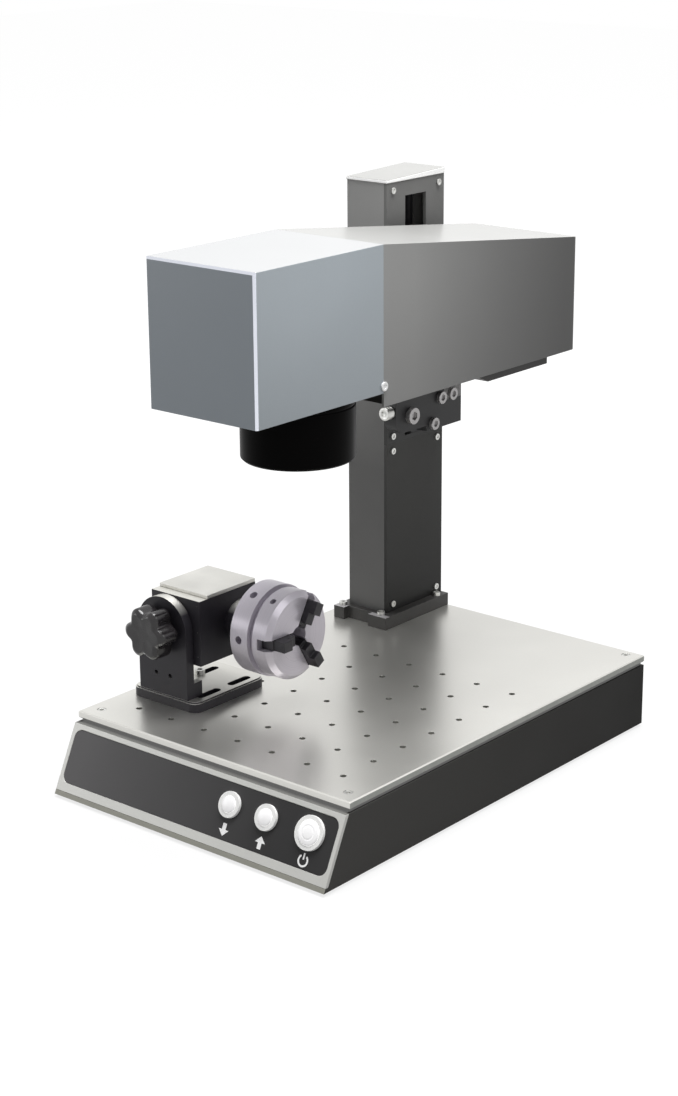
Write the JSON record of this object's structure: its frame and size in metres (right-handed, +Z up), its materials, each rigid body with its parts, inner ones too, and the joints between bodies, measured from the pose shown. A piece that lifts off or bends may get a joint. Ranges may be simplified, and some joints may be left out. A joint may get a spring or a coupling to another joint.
{
  "type": "laser engraver",
  "caption": "Desktop fibre laser engraver: box base with a slanted control front and tapped deck, column with a lifting scanner head, and a tilting rotary with a three-jaw chuck.",
  "frame": {"origin": "centre of the underside of the base box; the feet reach 2.5 mm lower", "axes": "+Z up, +Y to the rear, away from the control front, +X to the right as seen from the front"},
  "size_m": [0.278, 0.4275, 0.452],
  "materials": {
    "foot_rubber": "moulded, matt",
    "shell_paint": "fine-textured satin powder coat",
    "frame_silver": "fine bead blast, silver anodised",
    "inlay_black": "smooth semi-gloss",
    "post_alloy": "milled",
    "deck_alloy": "fine bead blast, clear anodised, bevelled edges",
    "screw_steel": "turned, bright",
    "button_ring": "smooth gloss",
    "button_white": "smooth gloss, domed",
    "supply_case": "folded sheet",
    "board_green": "solder mask",
    "socket_black": "moulded",
    "rocker_red": "moulded, gloss",
    "foot_dark": "satin black anodised",
    "column_grey": "satin dark grey",
    "column_dark": "satin dark grey",
    "cap_white": "satin white",
    "motor_black": "matt black",
    "shaft_steel": "ground",
    "support_alloy": "milled",
    "arm_black": "black anodised aluminium, satin",
    "bush_bronze": "sintered",
    "chassis_grey": "milled, dark anodised",
    "cover_silver": "fine metallic silver, satin",
    "cover_grey": "fine metallic grey, satin",
    "tray_dark": "satin",
    "mirror_coat": "coated glass",
    "lens_black": "black anodised, satin",
    "lens_glass": "polished, coated",
    "laser_grey": "anodised",
    "fan_black": "moulded",
    "rotary_black": "black anodised aluminium, satin",
    "knob_black": "moulded, satin",
    "lid_alloy": "satin anodised",
    "pulley_alloy": "turned",
    "belt_rubber": "matt",
    "chuck_steel": "turned and ground, bright",
    "jaw_steel": "hardened, blackened"
  },
  "bodies": {
    "base": {"feet": "foot_rubber", "base_floor": "shell_paint", "side_panels": "shell_paint", "rear_panel": "shell_paint", "front_frame": "frame_silver", "front_inlay": "inlay_black", "corner_posts": "post_alloy", "deck_plate": "deck_alloy", "frame_screws": "screw_steel", "button_switches": "button_ring", "power_supply": "supply_case", "control_board": "board_green", "rear_sockets": "socket_black", "column_foot": "foot_dark", "column_channel": "column_grey", "column_slot_plate": "column_grey", "column_cover": "column_dark", "column_cap": "cap_white", "lift_motor": "motor_black", "screw_supports": "support_alloy", "guide_rods": "shaft_steel", "rotary_base": "rotary_black", "rotary_upright": "rotary_black"},
    "down_button": {"button_down": "button_white"},
    "up_button": {"button_up": "button_white"},
    "power_button": {"button_power": "button_white"},
    "mains_rocker": {"mains_switch": "rocker_red"},
    "screw": {"lift_screw": "shaft_steel"},
    "head": {"carriage": "arm_black", "carriage_bushes": "bush_bronze", "arm_plate": "arm_black", "arm_bolts": "screw_steel", "head_chassis": "chassis_grey", "front_cover": "cover_silver", "rear_cover": "cover_grey", "head_tray": "tray_dark", "cover_screws": "screw_steel", "galvo_block": "support_alloy", "galvo_motors": "motor_black", "lens_barrel": "lens_black", "lens_glass": "lens_glass", "laser_module": "laser_grey", "head_fan_frame": "fan_black"},
    "arm_thumb_screw": {"thumb_screw": "screw_steel"},
    "x_mirror": {"scan_mirror_x": "mirror_coat"},
    "y_mirror": {"scan_mirror_y": "mirror_coat"},
    "fan_rotor": {"head_fan_rotor": "fan_black"},
    "rotary_head": {"rotary_housing": "rotary_black", "rotary_lid": "lid_alloy", "rotary_motor": "motor_black", "rotary_belt": "belt_rubber", "spindle_bearings": "shaft_steel"},
    "knob": {"tilt_knob": "knob_black"},
    "small_pulley": {"motor_pulley": "pulley_alloy"},
    "spindle": {"chuck_spindle": "shaft_steel", "chuck_body": "chuck_steel"},
    "scroll": {"scroll_ring": "chuck_steel"},
    "jaw_1": {"chuck_jaw_1": "jaw_steel"},
    "jaw_2": {"chuck_jaw_2": "jaw_steel"},
    "jaw_3": {"chuck_jaw_3": "jaw_steel"}
  },
  "joints": [
    {"name": "lift", "type": "slide", "parent": "base", "child": "head", "axis": [0, 0, 1], "range_m": [-0.065, 0.07]},
    {"name": "lift_screw_spin", "type": "hinge", "parent": "base", "child": "screw", "pos_m": [-0.096, 0.1682, 0.2], "axis": [0, 0, 1], "range_deg": [-2950, 3200]},
    {"name": "thumb_screw_turn", "type": "hinge", "parent": "head", "child": "arm_thumb_screw", "pos_m": [-0.05885, 0.1142, 0.257], "axis": [0, -1, 0], "range_deg": [0, 180]},
    {"name": "scan_x", "type": "hinge", "parent": "head", "child": "x_mirror", "pos_m": [0.016, -0.0699, 0.346], "axis": [0, 0, 1], "range_deg": [-12, 12], "stiffness_Nm_per_rad": 0.01},
    {"name": "scan_y", "type": "hinge", "parent": "head", "child": "y_mirror", "pos_m": [0, -0.0699, 0.346], "axis": [0, 1, 0], "range_deg": [-12, 12], "stiffness_Nm_per_rad": 0.01},
    {"name": "head_fan_spin", "type": "hinge", "parent": "head", "child": "fan_rotor", "pos_m": [0, 0.21, 0.3607], "axis": [0, 1, 0], "continuous": true},
    {"name": "down_button_press", "type": "slide", "parent": "base", "child": "down_button", "axis": [0, 0.9003, -0.4354], "range_m": [0, 0.002], "stiffness_N_per_m": 400, "springref_m": -0.002},
    {"name": "up_button_press", "type": "slide", "parent": "base", "child": "up_button", "axis": [0, 0.9003, -0.4354], "range_m": [0, 0.002], "stiffness_N_per_m": 400, "springref_m": -0.002},
    {"name": "power_button_press", "type": "slide", "parent": "base", "child": "power_button", "axis": [0, 0.9003, -0.4354], "range_m": [0, 0.002], "stiffness_N_per_m": 400, "springref_m": -0.002},
    {"name": "mains_switch_rock", "type": "hinge", "parent": "base", "child": "mains_rocker", "pos_m": [0.077, 0.2066, 0.028], "axis": [-1, 0, 0], "range_deg": [0, 16]},
    {"name": "rotary_tilt", "type": "hinge", "parent": "base", "child": "rotary_head", "pos_m": [-0.097, -0.12, 0.1244], "axis": [0, -1, 0], "range_deg": [0, 90]},
    {"name": "tilt_knob_turn", "type": "hinge", "parent": "rotary_head", "child": "knob", "pos_m": [-0.097, -0.135, 0.1244], "axis": [0, -1, 0], "range_deg": [0, 180]},
    {"name": "chuck_spin", "type": "hinge", "parent": "rotary_head", "child": "spindle", "pos_m": [-0.05, -0.0699, 0.1244], "axis": [1, 0, 0], "continuous": true},
    {"name": "motor_pulley_spin", "type": "hinge", "parent": "rotary_head", "child": "small_pulley", "pos_m": [-0.107, -0.0913, 0.1154], "axis": [1, 0, 0], "continuous": true},
    {"name": "scroll_turn", "type": "hinge", "parent": "spindle", "child": "scroll", "pos_m": [-0.031, -0.0699, 0.1244], "axis": [1, 0, 0], "range_deg": [-360, 360]},
    {"name": "jaw_1_slide", "type": "slide", "parent": "spindle", "child": "jaw_1", "axis": [0, 0.5, 0.866], "range_m": [-0.0041, 0.0041]},
    {"name": "jaw_2_slide", "type": "slide", "parent": "spindle", "child": "jaw_2", "axis": [0, -1, 0], "range_m": [-0.0041, 0.0041]},
    {"name": "jaw_3_slide", "type": "slide", "parent": "spindle", "child": "jaw_3", "axis": [0, 0.5, -0.866], "range_m": [-0.0041, 0.0041]}
  ],
  "couplings": [
    {"joint": "lift_screw_spin", "follows": "lift", "rad_per_m": 785.4},
    {"joint": "motor_pulley_spin", "follows": "chuck_spin", "ratio": 2.4},
    {"joint": "jaw_1_slide", "follows": "scroll_turn", "m_per_rad": 0.00063662},
    {"joint": "jaw_2_slide", "follows": "scroll_turn", "m_per_rad": 0.00063662},
    {"joint": "jaw_3_slide", "follows": "scroll_turn", "m_per_rad": 0.00063662}
  ]
}
